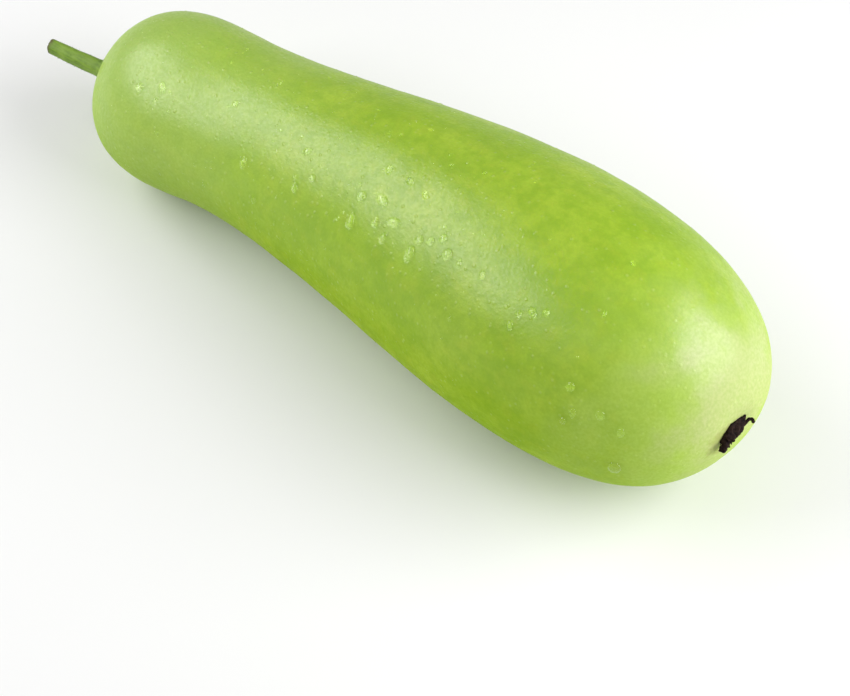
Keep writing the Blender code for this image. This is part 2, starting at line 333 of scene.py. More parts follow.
class Graph:
    """The node tree of one material or node group, laid node by node."""

    def __init__(self, tree: bpy.types.NodeTree) -> None:
        """Start on an empty tree."""
        self.tree = tree
        tree.nodes.clear()

    def add(self, kind: str, sockets: Sockets | None = None, **settings: object) -> bpy.types.Node:
        """Add a node.

        Args:
            kind: The node's type.
            sockets: For each input, by name or number, its value or the output that feeds it.
            **settings: The node's other settings.

        Returns:
            The new node.
        """
        node = self.tree.nodes.new(kind)
        for name, value in settings.items():
            setattr(node, name, value)
        for name, value in (sockets or {}).items():
            if isinstance(value, Socket):
                self.tree.links.new(value, node.inputs[name])
            else:
                node.inputs[name].default_value = value
        return node

    def place(self) -> Socket:
        """Where the shaded point is on the object, in metres."""
        return self.add("ShaderNodeTexCoord").outputs["Object"]

    def stretched(self, place: Socket, scale: Sequence[float]) -> Socket:
        """A place with each axis scaled, which draws a pattern out along the axes scaled least."""
        return self.add("ShaderNodeMapping", {"Vector": place, "Scale": scale}).outputs["Vector"]

    def clouds(self, place: Socket, size: float, detail: float = 3.0) -> Socket:
        """A cloudy pattern from 0 to 1, whose clouds are about this many metres across."""
        sockets = {"Vector": place, "Scale": 1 / size, "Detail": detail, "Roughness": 0.55}
        return self.add("ShaderNodeTexNoise", sockets).outputs["Fac"]

    def vectors(self, operation: str, first: Socket, second: Sequence[float]) -> bpy.types.NodeOutputs:
        """One sum of two vectors."""
        return self.add("ShaderNodeVectorMath", {0: first, 1: tuple(second)}, operation=operation).outputs

    def distance(self, place: Socket, point: Sequence[float]) -> Socket:
        """How far the shaded point is from a fixed point, in metres."""
        return self.vectors("DISTANCE", place, point)["Value"]

    def reach(self, place: Socket, point: Sequence[float], direction: Sequence[float]) -> Socket:
        """How far the shaded point lies beyond a fixed point in a direction, in metres."""
        offset = self.vectors("SUBTRACT", place, point)["Vector"]
        return self.vectors("DOT_PRODUCT", offset, direction)["Value"]

    def ease(self, value: Value, low: float, high: float, start: float = 0.0, end: float = 1.0) -> Socket:
        """Go smoothly from start to end as a value goes from low to high."""
        sockets = {"Value": value, "From Min": low, "From Max": high, "To Min": start, "To Max": end}
        return self.add("ShaderNodeMapRange", sockets, interpolation_type="SMOOTHSTEP").outputs["Result"]

    def uneven(self, place: Socket, size: float, most: float, spread: float) -> Socket:
        """A distance up to the most either way, in clouds whose values spread this far from the middle."""
        return self.ease(self.clouds(place, size), 0.5 - spread, 0.5 + spread, -most, most)

    def times(self, first: Value, second: Value) -> Socket:
        """One value times another, held between 0 and 1."""
        settings = {"operation": "MULTIPLY", "use_clamp": True}
        return self.add("ShaderNodeMath", {0: first, 1: second}, **settings).outputs[0]

    def plus(self, first: Value, second: Value) -> Socket:
        """One value added to another."""
        return self.add("ShaderNodeMath", {0: first, 1: second}, operation="ADD").outputs[0]

    def blend(self, factor: Value, first: Value, second: Value) -> Socket:
        """Mix two colours.

        Args:
            factor: The share of the second colour.
            first: One colour, as a socket or as three numbers from 0 to 1.
            second: The other colour.

        Returns:
            The mixed colour.
        """
        sockets = {"Factor": factor}
        for index, colour in ((6, first), (7, second)):
            sockets[index] = colour if isinstance(colour, Socket) else (*colour, 1.0)
        return self.add("ShaderNodeMix", sockets, data_type="RGBA").outputs[2]

    def place_group(self, group: bpy.types.NodeTree, sockets: Sockets) -> bpy.types.NodeOutputs:
        """Add a shared effect with its own values, and give its outputs."""
        return self.add("ShaderNodeGroup", sockets, node_tree=group).outputs

    def shader(self, sockets: Sockets) -> None:
        """Finish a material with a Principled shader, whose inputs get these values."""
        shader = self.add("ShaderNodeBsdfPrincipled", sockets)
        self.add("ShaderNodeOutputMaterial", {"Surface": shader.outputs["BSDF"]})


def new_material(name: str) -> tuple[bpy.types.Material, Graph]:
    """Start a material.

    Args:
        name: The material's name.

    Returns:
        The material and its empty node tree.
    """
    made = bpy.data.materials.new(name)
    made.use_nodes = True
    return made, Graph(made.node_tree)


def new_group(name: str, inputs: dict[str, str], outputs: dict[str, str]) -> Graph:
    """Start a node group.

    Args:
        name: The group's name.
        inputs: The socket type of each input.
        outputs: The socket type of each output.

    Returns:
        The group's empty node tree.
    """
    group = bpy.data.node_groups.new(name, "ShaderNodeTree")
    for sockets, way in ((inputs, "INPUT"), (outputs, "OUTPUT")):
        for label, kind in sockets.items():
            group.interface.new_socket(label, in_out=way, socket_type=kind)
    return Graph(group)


class Effects:
    """The effects that more than one finish uses, each built once as a node group.

    Counts are how many blotches, streaks, grains and specks there are in a metre.
    """

    masks: tuple[str, ...] = ("Blotches", "Streaks", "Grains", "Specks")
    along_growth: tuple[float, float, float] = (0.10, 1.0, 1.0)
    speck_edge: Range = (0.10, 0.34)
    speck_choice: Range = (0.35, 0.90)

    def __init__(self) -> None:
        """Build both groups."""
        self.growth = self.make_growth()
        self.relief = self.make_relief()

    def make_growth(self) -> bpy.types.NodeTree:
        """Build the masks of living tissue: blotches, streaks along the growth, fine grains and pale specks.

        Returns:
            The node group, whose inputs are the place and how many of each go into a metre.
        """
        counts = dict.fromkeys((f"{mask} per metre" for mask in self.masks), "NodeSocketFloat")
        inputs = {"Place": "NodeSocketVector", **counts}
        graph = new_group("growth", inputs, dict.fromkeys(self.masks, "NodeSocketFloat"))
        given = graph.add("NodeGroupInput").outputs
        place = given["Place"]
        drawn_out = graph.stretched(place, self.along_growth)
        clouded = {
            "Blotches": (place, 2.0, 0.30, 0.70),
            "Streaks": (drawn_out, 3.0, 0.32, 0.68),
            "Grains": (place, 3.0, 0.28, 0.72),
        }
        made = {}
        for mask, (where, detail, low, high) in clouded.items():
            noise = {"Vector": where, "Detail": detail, "Scale": given[f"{mask} per metre"]}
            made[mask] = graph.ease(graph.add("ShaderNodeTexNoise", noise).outputs["Fac"], low, high)
        cells = {"Vector": place, "Scale": given["Specks per metre"]}
        cell = graph.add("ShaderNodeTexVoronoi", cells).outputs
        spot = graph.ease(cell["Distance"], *self.speck_edge, 1.0, 0.0)
        lot = graph.add("ShaderNodeSeparateColor", {0: cell["Color"]}).outputs[0]
        made["Specks"] = graph.times(spot, graph.ease(lot, *self.speck_choice))
        graph.add("NodeGroupOutput", made)
        return graph.tree

    @staticmethod
    def make_relief() -> bpy.types.NodeTree:
        """Build the normal of a finely grained surface, with a height pattern laid over the grain.

        Returns:
            The node group.
        """
        numbers = dict.fromkeys(("Grains per metre", "Depth", "Height"), "NodeSocketFloat")
        graph = new_group("relief", {"Place": "NodeSocketVector", **numbers}, {"Normal": "NodeSocketVector"})
        given = graph.add("NodeGroupInput").outputs
        noise = {"Vector": given["Place"], "Detail": 4.0, "Scale": given["Grains per metre"]}
        grain = graph.add("ShaderNodeTexNoise", noise).outputs["Fac"]
        bump = {"Height": graph.plus(grain, given["Height"]), "Distance": given["Depth"], "Strength": 1.0}
        graph.add("NodeGroupOutput", {"Normal": graph.add("ShaderNodeBump", bump).outputs["Normal"]})
        return graph.tree

    def grow(self, graph: Graph, place: Socket, counts: Counts) -> bpy.types.NodeOutputs:
        """Lay the growth masks in a material, with so many of each in a metre."""
        sockets = {f"{mask} per metre": count for mask, count in zip(self.masks, counts)}
        return graph.place_group(self.growth, {"Place": place, **sockets})

    def normal(self, graph: Graph, place: Socket, grains: float, depth: Value, height: Socket) -> Socket:
        """Lay the relief in a material: so many grains per metre, this deep, under a height pattern."""
        sockets = {"Place": place, "Grains per metre": grains, "Depth": depth, "Height": height}
        return graph.place_group(self.relief, sockets)["Normal"]


@dataclass(frozen=True)
class Clouding:
    """A colour laid on in clouds: their size and detail, where they set in, and how strong they are."""

    colour: Colour
    size: float
    detail: float
    onset: Range
    strength: float

    def lay(self, graph: Graph, place: Socket, under: Socket) -> Socket:
        """Lay the clouds over the colour under them."""
        clouds = graph.clouds(place, self.size, self.detail)
        return graph.blend(graph.ease(clouds, *self.onset, 0.0, self.strength), under, self.colour)


@dataclass(frozen=True)
class Fade:
    """A colour that fades out round a pole: from where to where, its strength and its shift from there."""

    colour: Colour
    reach: Range
    strength: float
    shift: Offset = (0.0, 0.0, 0.0)

    def lay(self, graph: Graph, place: Socket, under: Socket, pole: Vector, uneven: Socket) -> Socket:
        """Lay the colour round a pole, over the colour under it, with an uneven edge."""
        away = graph.plus(graph.distance(place, pole + Vector(self.shift)), uneven)
        return graph.blend(graph.ease(away, *self.reach, self.strength, 0.0), under, self.colour)


@dataclass(frozen=True)
class SkinFinish:
    """The fruit's waxy green skin, paler towards both ends and most of all at the blossom end. Round the
    blossom end part of this paleness is painted light and a painted highlight, laid where the side lamp's
    highlight falls.

    An unevenness is the size of its clouds, the distance it moves an edge and how far its values spread.
    """

    mid: Colour = (0.345, 0.535, 0.016)
    deep: Colour = (0.235, 0.415, 0.010)
    fresh: Colour = (0.410, 0.580, 0.038)
    yellowed: Colour = (0.430, 0.545, 0.032)
    speck: Colour = (0.560, 0.700, 0.200)
    clouding: tuple[Clouding, ...] = (
        Clouding(deep, 14 * MM, 3.0, (0.35, 0.75), 0.55),
        Clouding(deep, 4.0 * MM, 4.0, (0.40, 0.64), 0.46),
        Clouding(yellowed, 5.5 * MM, 3.0, (0.50, 0.70), 0.36),
    )
    growth: Counts = (26.0, 190.0, 900.0, 420.0)
    streaked: float = 0.22
    grained: float = 0.28
    specked: float = 0.20
    # Lighter green round the blossom end. Partly the skin's own tone and partly painted light round the side
    # lamp's highlight.
    lighter_end_and_painted_light: Fade = Fade((0.452, 0.625, 0.118), (20 * MM, 72 * MM), 0.75, (0.0, -4 * MM, 8 * MM))
    # Pale yellowish green at the blossom end. Partly the skin's own paler tone and partly a painted
    # highlight: its middle is moved up to where the side lamp's highlight falls.
    pale_end_and_painted_highlight: Fade = Fade((0.490, 0.550, 0.225), (12 * MM, 39 * MM), 0.92, (-6 * MM, 13 * MM, 14 * MM))
    stem_end: Fade = Fade((0.400, 0.565, 0.135), (12 * MM, 150 * MM), 0.75)
    scar: Fade = Fade((0.300, 0.290, 0.080), (4.5 * MM, 8.5 * MM), 0.35)
    seat: Fade = Fade((0.230, 0.330, 0.045), (5.5 * MM, 10.5 * MM), 0.70)
    wandering: tuple[float, float, float] = (22 * MM, 9 * MM, 0.20)
    ragged: tuple[float, float, float] = (2.2 * MM, 1.6 * MM, 0.25)
    relief_grains: float = 820.0
    relief_depths: Range = (0.06 * MM, 0.13 * MM)
    relief_reach: Range = (40 * MM, 95 * MM)
    roughness: Range = (0.31, 0.43)
    gloss: Range = (0.02, 0.65)
    gloss_height: Range = (-4 * MM, 34 * MM)
    edge_gloss: float = 0.12
    edge_slant: Range = (0.48, 0.80)
    coat: float = 0.06
    coat_roughness: float = 0.22
    glow: float = 0.16
    glow_colour: Colour = (0.55, 1.0, 0.22)
    glow_reach: float = 6 * MM

    def material(self, effects: Effects, stem_pole: Vector, blossom_pole: Vector) -> bpy.types.Material:
        """The skin's material.

        Args:
            effects: The shared node groups.
            stem_pole: The middle of the recess that holds the stalk.
            blossom_pole: The middle of the blossom scar.

        Returns:
            The finished material.
        """
        made, graph = new_material("gourd_skin")
        place = graph.place()
        growth = effects.grow(graph, place, self.growth)
        colour = graph.blend(growth["Blotches"], self.mid, self.fresh)
        for clouding in self.clouding:
            colour = clouding.lay(graph, place, colour)
        colour = graph.blend(graph.times(growth["Streaks"], self.streaked), colour, self.deep)
        uneven = graph.uneven(place, *self.wandering)
        # Paler ends. Round the blossom end part of this is painted light and a painted highlight.
        ends = ((self.lighter_end_and_painted_light, blossom_pole), (self.pale_end_and_painted_highlight, blossom_pole), (self.stem_end, stem_pole))
        for fade, pole in ends:
            colour = fade.lay(graph, place, colour, pole, uneven)
        colour = graph.blend(graph.times(growth["Grains"], self.grained), colour, self.deep)
        colour = graph.blend(graph.times(growth["Specks"], self.specked), colour, self.speck)
        uneven = graph.uneven(place, *self.ragged)
        for fade, pole in ((self.scar, blossom_pole), (self.seat, stem_pole)):
            colour = fade.lay(graph, place, colour, pole, uneven)
        depth = graph.ease(graph.distance(place, blossom_pole), *self.relief_reach, *self.relief_depths)
        height = graph.reach(place, CORE[0], CORE_UP)
        gloss = graph.ease(height, *self.gloss_height, *self.gloss)
        slant = graph.add("ShaderNodeLayerWeight").outputs["Facing"]
        edge_gloss = graph.ease(slant, *self.edge_slant, 1.0, self.edge_gloss)
        graph.shader(
            {
                "Base Color": colour,
                "Roughness": graph.ease(growth["Grains"], 0.0, 1.0, *self.roughness),
                "Normal": effects.normal(graph, place, self.relief_grains, depth, growth["Specks"]),
                "Specular IOR Level": graph.times(gloss, edge_gloss),
                "Coat Weight": self.coat,
                "Coat Roughness": self.coat_roughness,
                "Subsurface Weight": self.glow,
                "Subsurface Radius": self.glow_colour,
                "Subsurface Scale": self.glow_reach,
            }
        )
        return made


@dataclass(frozen=True)
class StalkFinish:
    """The stalk's dull green bark, streaked along its length, with a browned cut end."""

    bark: Colour = (0.190, 0.340, 0.024)
    shaded: Colour = (0.105, 0.195, 0.020)
    ridge: Colour = (0.275, 0.420, 0.055)
    browned: Colour = (0.105, 0.080, 0.030)
    pith: Colour = (0.330, 0.350, 0.150)
    growth: Counts = (150.0, 1100.0, 3200.0, 900.0)
    blotched: float = 0.55
    specked: float = 0.45
    browned_length: float = 2.4 * MM
    browned_edge: float = 0.7 * MM
    pith_edge: Range = (0.45, 0.80)
    pith_strength: float = 0.85
    along_stalk: tuple[float, float, float] = (0.12, 1.0, 1.0)
    relief: Range = (2600.0, 0.10 * MM)
    roughness: Range = (0.48, 0.66)
    gloss: float = 0.35

    def material(self, effects: Effects, tip: Vector, outwards: Vector, radius: float) -> bpy.types.Material:
        """The stalk's material.

        Args:
            effects: The shared node groups.
            tip: The middle of the cut end.
            outwards: The stalk's direction, away from the fruit.
            radius: The stalk's radius at its cut end, in metres.

        Returns:
            The finished material.
        """
        made, graph = new_material("stalk_bark")
        place = graph.place()
        growth = effects.grow(graph, place, self.growth)
        colour = graph.blend(growth["Streaks"], self.shaded, self.bark)
        colour = graph.blend(graph.times(growth["Blotches"], self.blotched), colour, self.ridge)
        colour = graph.blend(graph.times(growth["Specks"], self.specked), colour, self.ridge)
        uneven = graph.ease(growth["Grains"], 0.0, 1.0, -self.browned_edge, self.browned_edge)
        along = graph.plus(graph.reach(place, tip, outwards), uneven)
        colour = graph.blend(graph.ease(along, -self.browned_length, 0.0), colour, self.browned)
        edge = [share * radius for share in self.pith_edge]
        inner = graph.ease(graph.distance(place, tip), *edge, self.pith_strength, 0.0)
        colour = graph.blend(inner, colour, self.pith)
        drawn_out = graph.stretched(place, self.along_stalk)
        graph.shader(
            {
                "Base Color": colour,
                "Roughness": graph.ease(growth["Grains"], 0.0, 1.0, *self.roughness),
                "Normal": effects.normal(graph, drawn_out, *self.relief, growth["Specks"]),
                "Specular IOR Level": self.gloss,
            }
        )
        return made


@dataclass(frozen=True)
class WitheredFinish:
    """The blossom's dried tissue: brown-black, dull, with a few worn brown edges."""

    black: Colour = (0.0050, 0.0025, 0.0035)
    brown: Colour = (0.020, 0.010, 0.009)
    worn: Colour = (0.090, 0.055, 0.035)
    growth: Counts = (420.0, 900.0, 3800.0, 1500.0)
    worn_share: float = 0.35
    relief: Range = (2600.0, 0.16 * MM)
    roughness: Range = (0.55, 0.90)
    gloss: float = 0.08

    def material(self, effects: Effects) -> bpy.types.Material:
        """The dried tissue's material.

        Args:
            effects: The shared node groups.

        Returns:
            The finished material.
        """
        made, graph = new_material("withered_blossom")
        place = graph.place()
        growth = effects.grow(graph, place, self.growth)
        colour = graph.blend(growth["Blotches"], self.black, self.brown)
        worn = graph.times(graph.times(growth["Grains"], growth["Streaks"]), self.worn_share)
        graph.shader(
            {
                "Base Color": graph.blend(worn, colour, self.worn),
                "Roughness": graph.ease(growth["Grains"], 0.0, 1.0, *self.roughness),
                "Normal": effects.normal(graph, place, *self.relief, growth["Streaks"]),
                "Specular IOR Level": self.gloss,
            }
        )
        return made


@dataclass(frozen=True)
class WaterFinish:
    """Clear water, which lets a share of the lamps' light through to the skin under it."""

    ior: float = 1.333
    roughness: float = 0.04
    lamp_light: float = 0.62

    def material(self) -> bpy.types.Material:
        """The water's material.

        Returns:
            The finished material.
        """
        made, graph = new_material("water")
        sockets = {
            "Base Color": (1.0, 1.0, 1.0, 1.0),
            "Roughness": self.roughness,
            "IOR": self.ior,
            "Transmission Weight": 1.0,
        }
        water = graph.add("ShaderNodeBsdfPrincipled", sockets).outputs["BSDF"]
        clear = graph.add("ShaderNodeBsdfTransparent").outputs["BSDF"]
        lamp_ray = graph.add("ShaderNodeLightPath").outputs["Is Shadow Ray"]
        let_through = graph.times(lamp_ray, self.lamp_light)
        mixed = graph.add("ShaderNodeMixShader", {0: let_through, 1: water, 2: clear}).outputs["Shader"]
        graph.add("ShaderNodeOutputMaterial", {"Surface": mixed})
        return made


@dataclass(frozen=True)
class PaperFinish:
    """The studio's pale floor, with the faint unevenness of matt paper."""

    light: Colour = (0.90, 0.90, 0.90)
    shade: Colour = (0.87, 0.87, 0.87)
    cloud_size: float = 0.5
    onset: Range = (0.3, 0.7)
    roughness: float = 0.9
    gloss: float = 0.1

    def material(self) -> bpy.types.Material:
        """The floor's material.

        Returns:
            The finished material.
        """
        made, graph = new_material("studio_floor")
        cloudy = graph.ease(graph.clouds(graph.place(), self.cloud_size), *self.onset)
        colour = graph.blend(cloudy, self.light, self.shade)
        graph.shader({"Base Color": colour, "Roughness": self.roughness, "Specular IOR Level": self.gloss})
        return made


# ---------------------------------------------------------------- the gourd's pieces


def publish(thing: Thing, slot: Slot | None, *nodes: str) -> None:
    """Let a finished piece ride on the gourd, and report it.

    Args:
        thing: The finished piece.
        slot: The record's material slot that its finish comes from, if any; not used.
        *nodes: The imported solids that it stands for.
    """
    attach(thing, BODY)
    if nodes:
        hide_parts(*nodes)
    log.info("%s: %d faces", thing.name, len(thing.data.polygons))


def foot_of(node: str, outwards: Vector) -> Vector:
    """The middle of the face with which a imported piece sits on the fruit.

    Args:
        node: The piece's name in the frame.
        outwards: The direction in which the piece stands off the fruit.

    Returns:
        The face's middle.
    """
    places = vertex_places(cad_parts[node])
    heights = places @ np.array(outwards)
    return Vector(places[heights < heights.min() + FOOT_DEPTH].mean(axis=0))


@dataclass
class Fruit:
    """The fruit's skin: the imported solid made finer, with the unevenness of growth."""

    effects: Effects
    stem_pole: Vector
    blossom_pole: Vector
    levels: int = 2
    swells: Range = (42 * MM, 0.9 * MM)
    dents: Range = (11 * MM, 0.22 * MM)
    ripples: Range = (4.5 * MM, 0.05 * MM)
    finish: SkinFinish = SkinFinish()
    skin: Thing = field(init=False)

    def build(self) -> None:
        """Make and dress the skin."""
        self.skin = copy_of_node("fruit", "gourd_skin")
        subdivide(self.skin, self.levels)
        for size, height in (self.swells, self.dents, self.ripples):
            roughen(self.skin, size, height, 1)
        keep_above_floor(self.skin)
        shade(self.skin)
        dress(self.skin, self.finish.material(self.effects, self.stem_pole, self.blossom_pole))
        publish(self.skin, Slot.SKIN, "fruit")

    def resting(self, along: float, around: float, length: float, turn: float) -> Matrix:
        """Find the place of a drop on the skin.

        Args:
            along: The share of the way from the stem end to the blossom end.
            around: The angle from straight up, growing towards the front, in degrees.
            length: The drop's length in metres.
            turn: How far it is turned from the way that water would run, in radians.

        Returns:
            The place and size that a drop one unit long is given.
        """
        angle = math.radians(around)
        outwards = CORE_UP * math.cos(angle) + CORE_AXIS.cross(CORE_UP) * math.sin(angle)
        _, point, normal, _ = self.skin.ray_cast(CORE[0].lerp(CORE[1], along), outwards)
        uphill = Vector((-0.05, 0.2, 1.0))
        stand = Matrix.Translation(point) @ facing(normal if normal.dot(outwards) > 0 else -normal, uphill)
        return stand @ Matrix.Rotation(turn, 4, "Z") @ Matrix.Scale(length, 4)


@dataclass
class Stalk:
    """The cut stalk: ridged and streaked along its length, flared at its foot, with fine hairs.

    A swell is its height as a share of the radius, its pace along the stalk and its turns round it. A wave of
    the cut is its height and its paces along X and Y, in radians per millimetre.
    """

    effects: Effects
    sides: int = 120
    rings: int = 56
    ridges: int = 5
    ridge_height: float = 0.035
    grooves: int = 15
    groove_depth: float = 0.012
    flare: float = 0.66375
    flare_length: float = 9 * MM
    taper: float = 0.19
    swells: tuple[tuple[float, float, int], ...] = ((0.02, 9.0, 1), (0.012, 21.0, 2))
    edge_round: float = 0.45 * MM
    bark_width: float = 0.22 * MM
    bark_rise: float = 0.10 * MM
    rim: float = 0.75 * MM
    rim_fall: float = 0.05 * MM
    pith_wall: float = 0.18 * MM
    pith_depth: float = 0.30 * MM
    pith_rings: int = 4
    pith_ring: float = 0.36 * MM
    pith_rise: float = 0.02 * MM
    torn: Range = (0.6 * MM, 0.1 * MM)
    cut_waves: tuple[tuple[float, float, float], ...] = ((0.07 * MM, 5.1, 2.3), (0.05 * MM, -4.0, 9.7))
    cut_slope: float = 0.10
    bundles: int = 10
    bundle_radius: float = 0.22 * MM
    bundle_squash: tuple[float, float, float] = (1.0, 0.75, 0.8)
    bundle_inset: float = 0.55 * MM
    bundle_rise: float = 0.05 * MM
    hairs: int = 620
    hair_length: Range = (0.35 * MM, 0.85 * MM)
    hair_radius: float = 0.035 * MM
    hair_root: float = 0.04
    hair_ends: Range = (0.03, 0.97)
    hair_sway: Range = (-0.4, 0.4)
    hair_lean: Range = (0.0, 0.7)
    seed: int = 11
    finish: StalkFinish = StalkFinish()
    foot: Vector = field(init=False)
    tip: Vector = field(init=False)
    outwards: Vector = field(init=False)
    length: float = field(init=False)
    radius: float = field(init=False)
    place: Matrix = field(init=False)

    def __post_init__(self) -> None:
        """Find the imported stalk's foot, tip, direction and radius."""
        places = vertex_places(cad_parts["stem"])
        middle = places.mean(axis=0)
        direction = np.linalg.svd(places - middle, full_matrices=False)[2][0]
        direction = direction * -np.sign(direction[0])
        heights = (places - middle) @ direction
        rim = places[heights > heights.max() - self.rim_fall]
        tip = rim.mean(axis=0)
        self.foot, self.tip = foot_of("stem", Vector(direction)), Vector(tip)
        self.outwards = (self.tip - self.foot).normalized()
        self.length = (self.tip - self.foot).length
        self.radius = float(np.linalg.norm(rim - tip, axis=1).mean())
        self.place = Matrix.Translation(self.foot) @ facing(self.outwards, Vector((0, 1, 0)))

    def radius_at(self, height: np.ndarray, angle: np.ndarray) -> np.ndarray:
        """Find the stalk's radius.

        Args:
            height: Heights above its foot.
            angle: Angles round it.

        Returns:
            The radius at each, in metres.
        """
        share = height / self.length
        tapered = 1 + self.taper * (1 - share) + self.flare * (1 - smooth_step(height / self.flare_length))
        ridged = 1 + self.ridge_height * np.cos(self.ridges * angle)
        grooved = 1 - self.groove_depth * np.abs(np.sin(self.grooves / 2 * angle))
        swollen = 1 + sum(high * np.sin(pace * share + turns * angle) for high, pace, turns in self.swells)
        return self.radius * tapered * ridged * grooved * swollen

    def build(self) -> None:
        """Make and dress the stalk and its hairs."""
        stalk = self.make_shaft()
        material = self.finish.material(self.effects, self.tip, self.outwards, self.radius)
        dress(stalk, material)
        publish(stalk, Slot.STALK, "stem")
        hairs = self.make_hairs()
        dress(hairs, material)
        publish(hairs, Slot.STALK)

    def make_shaft(self) -> Thing:
        """Shape a cylinder cut into rings, with a sunken pith and raised bundles in its cut end.

        Returns:
            The stalk, in its place.
        """
        stalk = add(
            bpy.ops.mesh.primitive_cylinder_add,
            vertices=self.sides,
            radius=self.radius,
            depth=self.length,
            location=(0, 0, self.length / 2),
        )
        settle(stalk, Matrix.Identity(4))
        with editing(stalk, "EDGE"):
            pick(stalk, "edges", lambda e: abs(e.verts[0].co.z - e.verts[1].co.z) > self.length / 2)
            bpy.ops.mesh.subdivide(number_cuts=self.rings)
            pick(stalk, "edges", lambda e: min(v.co.z for v in e.verts) > self.length - NEAR)
            bpy.ops.mesh.bevel(offset=self.edge_round, segments=3)
        with editing(stalk, "FACE"):
            pick(stalk, "faces", lambda f: f.calc_center_median().z > self.length - NEAR)
            bpy.ops.mesh.inset(thickness=self.bark_width, depth=self.bark_rise)
            bpy.ops.mesh.inset(thickness=self.rim - self.bark_width, depth=-self.rim_fall)
            bpy.ops.mesh.inset(thickness=self.pith_wall, depth=-self.pith_depth)
            for _ in range(self.pith_rings):
                bpy.ops.mesh.inset(thickness=self.pith_ring, depth=self.pith_rise)
            bpy.ops.mesh.poke()
            pick(stalk, "faces", lambda f: f.calc_center_median().z < NEAR)
            bpy.ops.mesh.poke()
        places = vertex_places(stalk)
        angle = np.arctan2(places[:, 1], places[:, 0])
        swell = self.radius_at(places[:, 2], angle) / self.radius
        places[:, :2] *= swell[:, None]
        self.tear_cut(places)
        set_vertex_places(stalk, places)
        stalk = join([stalk, *self.make_bundles()], "stalk")
        settle(stalk, self.place)
        shade(stalk, math.radians(60))
        return stalk

    def tear_cut(self, places: np.ndarray) -> None:
        """Give the cut face the torn grain and the slope that a knife leaves.

        Args:
            places: The stalk's vertices, which are moved.
        """
        start, full = self.torn
        cut = smooth_step((places[:, 2] - (self.length - start)) / (start - full))
        x, y = places[:, 0] / MM, places[:, 1] / MM
        waves = sum(height * np.sin(across * x + along * y) for height, across, along in self.cut_waves)
        places[:, 2] += cut * (waves + self.cut_slope * places[:, 0])

    def make_bundles(self) -> list[Thing]:
        """Make the ring of fibre bundles that stand a little proud of the cut face.

        Returns:
            The bundles, on a stalk that stands on the origin.
        """
        bundle = add(bpy.ops.mesh.primitive_ico_sphere_add, subdivisions=2, radius=self.bundle_radius)
        settle(bundle, Matrix.Diagonal((*self.bundle_squash, 1.0)))
        reach = self.radius - self.rim - self.bundle_inset
        height = self.length - self.pith_depth + self.bundle_rise
        places = []
        for index in range(self.bundles):
            angle = 2 * math.pi * (index + 0.25 * math.sin(5.0 * index)) / self.bundles
            moved = Matrix.Translation((reach * math.cos(angle), reach * math.sin(angle), height))
            places.append(moved @ Matrix.Rotation(angle, 4, "Z"))
        copies = scatter(bundle, places)
        remove(bundle)
        return copies

    def make_hairs(self) -> Thing:
        """Make short fine hairs all along the stalk, thickest on its ridges, leaning towards the cut end.

        Returns:
            All the hairs as one object, in their place.
        """
        hair = add(bpy.ops.mesh.primitive_cone_add, vertices=3, radius1=self.hair_radius, radius2=0, depth=1)
        settle(hair, Matrix.Translation((0, 0, 0.5 - self.hair_root)))
        draw = random.Random(self.seed)
        places = []
        while len(places) < self.hairs:
            angle, height = draw.uniform(0, 2 * math.pi), self.length * draw.uniform(*self.hair_ends)
            if draw.random() > 0.55 + 0.45 * math.cos(self.ridges * angle):
                continue
            radius = float(self.radius_at(np.array(height), np.array(angle)))
            root = Vector((radius * math.cos(angle), radius * math.sin(angle), height))
            lean = Vector((root.x, root.y, 0)).normalized()
            sway = [draw.uniform(*ends) for ends in (self.hair_sway, self.hair_sway, self.hair_lean)]
            turn = facing(lean + Vector(sway), Vector((0.3, 0.2, 1.0)))
            grown = Matrix.Diagonal((1, 1, draw.uniform(*self.hair_length), 1))
            places.append(self.place @ Matrix.Translation(root) @ turn @ grown)
        hairs = join(scatter(hair, places), "stalk_hairs")
        remove(hair)
        return hairs


